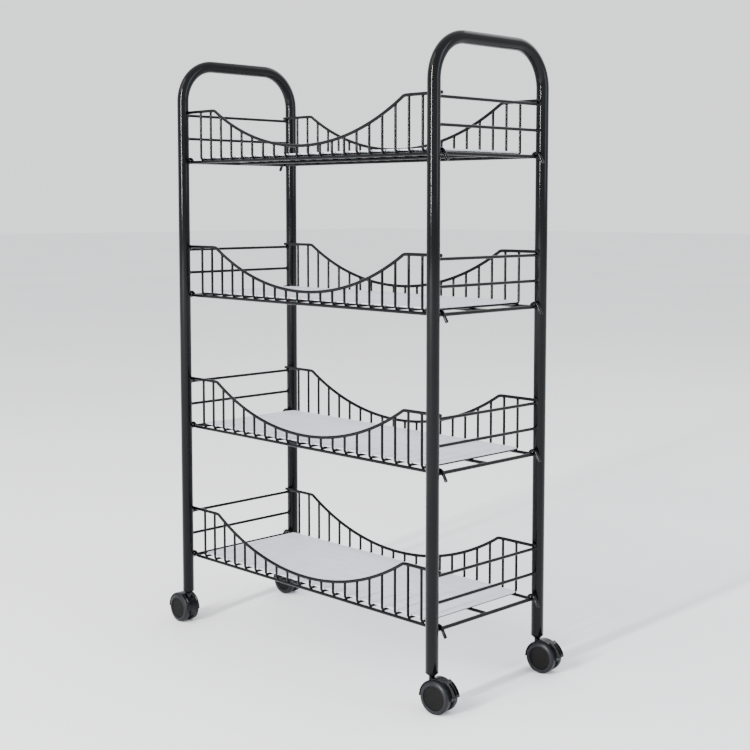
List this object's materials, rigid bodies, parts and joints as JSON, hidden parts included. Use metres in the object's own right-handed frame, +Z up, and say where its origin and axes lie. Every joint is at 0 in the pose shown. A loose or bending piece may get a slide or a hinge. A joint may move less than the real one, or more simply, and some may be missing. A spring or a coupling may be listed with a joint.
{
  "type": "book cart",
  "caption": "Narrow wheeled book cart: bent tube end frames, stacked wire baskets with a dipped front and rear rail, loose floor sheets, twin-wheel casters.",
  "frame": {"origin": "on the floor under the middle of the cart", "axes": "+Z up, +X along the baskets towards the end with the braked casters, -Y towards the person who uses it"},
  "size_m": [0.6883, 0.286, 1.006],
  "materials": {
    "coated_steel": "semi-gloss black powder coat",
    "liner_plastic": "light grey sheet with a fine grain",
    "black_nylon": "satin moulded",
    "wheel_grey": "smooth grey tread and side ring",
    "dark_steel": "black zinc, satin",
    "bright_steel": "zinc plated"
  },
  "bodies": {
    "root": {"end_hoop_left": "coated_steel", "crossbar_left_1": "coated_steel", "guard_rail_left_1_mid": "coated_steel", "guard_rail_left_1_upper": "coated_steel", "crossbar_left_2": "coated_steel", "guard_rail_left_2_mid": "coated_steel", "guard_rail_left_2_upper": "coated_steel", "crossbar_left_3": "coated_steel", "guard_rail_left_3_mid": "coated_steel", "guard_rail_left_3_upper": "coated_steel", "crossbar_left_4": "coated_steel", "guard_rail_left_4_mid": "coated_steel", "guard_rail_left_4_upper": "coated_steel", "end_hoop_right": "coated_steel", "crossbar_right_1": "coated_steel", "guard_rail_right_1_mid": "coated_steel", "guard_rail_right_1_upper": "coated_steel", "crossbar_right_2": "coated_steel", "guard_rail_right_2_mid": "coated_steel", "guard_rail_right_2_upper": "coated_steel", "crossbar_right_3": "coated_steel", "guard_rail_right_3_mid": "coated_steel", "guard_rail_right_3_upper": "coated_steel", "crossbar_right_4": "coated_steel", "guard_rail_right_4_mid": "coated_steel", "guard_rail_right_4_upper": "coated_steel", "basket_1": "coated_steel", "floor_liner_1": "liner_plastic", "basket_2": "coated_steel", "floor_liner_2": "liner_plastic", "basket_3": "coated_steel", "floor_liner_3": "liner_plastic", "basket_4": "coated_steel", "floor_liner_4": "liner_plastic", "stem_socket_front_left": "black_nylon", "stem_socket_rear_left": "black_nylon", "stem_socket_front_right": "black_nylon", "stem_socket_rear_right": "black_nylon"},
    "caster_front_left": {"caster_hood_front_left": "black_nylon", "caster_stem_front_left": "dark_steel", "axle_front_left": "bright_steel"},
    "wheel_a_front_left": {"wheel_a_front_left": "wheel_grey"},
    "wheel_b_front_left": {"wheel_b_front_left": "wheel_grey"},
    "caster_rear_left": {"caster_hood_rear_left": "black_nylon", "caster_stem_rear_left": "dark_steel", "axle_rear_left": "bright_steel"},
    "wheel_a_rear_left": {"wheel_a_rear_left": "wheel_grey"},
    "wheel_b_rear_left": {"wheel_b_rear_left": "wheel_grey"},
    "caster_front_right": {"caster_hood_front_right": "black_nylon", "caster_stem_front_right": "dark_steel", "axle_front_right": "bright_steel"},
    "wheel_a_front_right": {"wheel_a_front_right": "wheel_grey"},
    "wheel_b_front_right": {"wheel_b_front_right": "wheel_grey"},
    "brake_pedal_front_right": {"brake_pedal_front_right": "black_nylon"},
    "caster_rear_right": {"caster_hood_rear_right": "black_nylon", "caster_stem_rear_right": "dark_steel", "axle_rear_right": "bright_steel"},
    "wheel_a_rear_right": {"wheel_a_rear_right": "wheel_grey"},
    "wheel_b_rear_right": {"wheel_b_rear_right": "wheel_grey"},
    "brake_pedal_rear_right": {"brake_pedal_rear_right": "black_nylon"}
  },
  "joints": [
    {"name": "swivel_front_left", "type": "hinge", "parent": "root", "child": "caster_front_left", "pos_m": [-0.3, -0.125, 0.05], "axis": [0, 0, 1], "continuous": true},
    {"name": "roll_a_front_left", "type": "hinge", "parent": "caster_front_left", "child": "wheel_a_front_left", "pos_m": [-0.313, -0.125, 0.025], "axis": [0, -1, 0], "continuous": true},
    {"name": "roll_b_front_left", "type": "hinge", "parent": "caster_front_left", "child": "wheel_b_front_left", "pos_m": [-0.313, -0.125, 0.025], "axis": [0, -1, 0], "continuous": true},
    {"name": "swivel_rear_left", "type": "hinge", "parent": "root", "child": "caster_rear_left", "pos_m": [-0.3, 0.125, 0.05], "axis": [0, 0, 1], "continuous": true},
    {"name": "roll_a_rear_left", "type": "hinge", "parent": "caster_rear_left", "child": "wheel_a_rear_left", "pos_m": [-0.31295, 0.12387, 0.025], "axis": [0.0872, -0.9962, 0], "continuous": true},
    {"name": "roll_b_rear_left", "type": "hinge", "parent": "caster_rear_left", "child": "wheel_b_rear_left", "pos_m": [-0.31295, 0.12387, 0.025], "axis": [0.0872, -0.9962, 0], "continuous": true},
    {"name": "swivel_front_right", "type": "hinge", "parent": "root", "child": "caster_front_right", "pos_m": [0.3, -0.125, 0.05], "axis": [0, 0, 1], "continuous": true},
    {"name": "roll_a_front_right", "type": "hinge", "parent": "caster_front_right", "child": "wheel_a_front_right", "pos_m": [0.31287, -0.12319, 0.025], "axis": [-0.1392, 0.9903, 0], "continuous": true},
    {"name": "roll_b_front_right", "type": "hinge", "parent": "caster_front_right", "child": "wheel_b_front_right", "pos_m": [0.31287, -0.12319, 0.025], "axis": [-0.1392, 0.9903, 0], "continuous": true},
    {"name": "brake_front_right", "type": "hinge", "parent": "caster_front_right", "child": "brake_pedal_front_right", "pos_m": [0.32659, -0.12126, 0.05105], "axis": [0.1392, -0.9903, 0], "range_deg": [0, 18]},
    {"name": "swivel_rear_right", "type": "hinge", "parent": "root", "child": "caster_rear_right", "pos_m": [0.3, 0.125, 0.05], "axis": [0, 0, 1], "continuous": true},
    {"name": "roll_a_rear_right", "type": "hinge", "parent": "caster_rear_right", "child": "wheel_a_rear_right", "pos_m": [0.31287, 0.12681, 0.025], "axis": [-0.1392, 0.9903, 0], "continuous": true},
    {"name": "roll_b_rear_right", "type": "hinge", "parent": "caster_rear_right", "child": "wheel_b_rear_right", "pos_m": [0.31287, 0.12681, 0.025], "axis": [-0.1392, 0.9903, 0], "continuous": true},
    {"name": "brake_rear_right", "type": "hinge", "parent": "caster_rear_right", "child": "brake_pedal_rear_right", "pos_m": [0.32659, 0.12874, 0.05105], "axis": [0.1392, -0.9903, 0], "range_deg": [0, 18]}
  ]
}
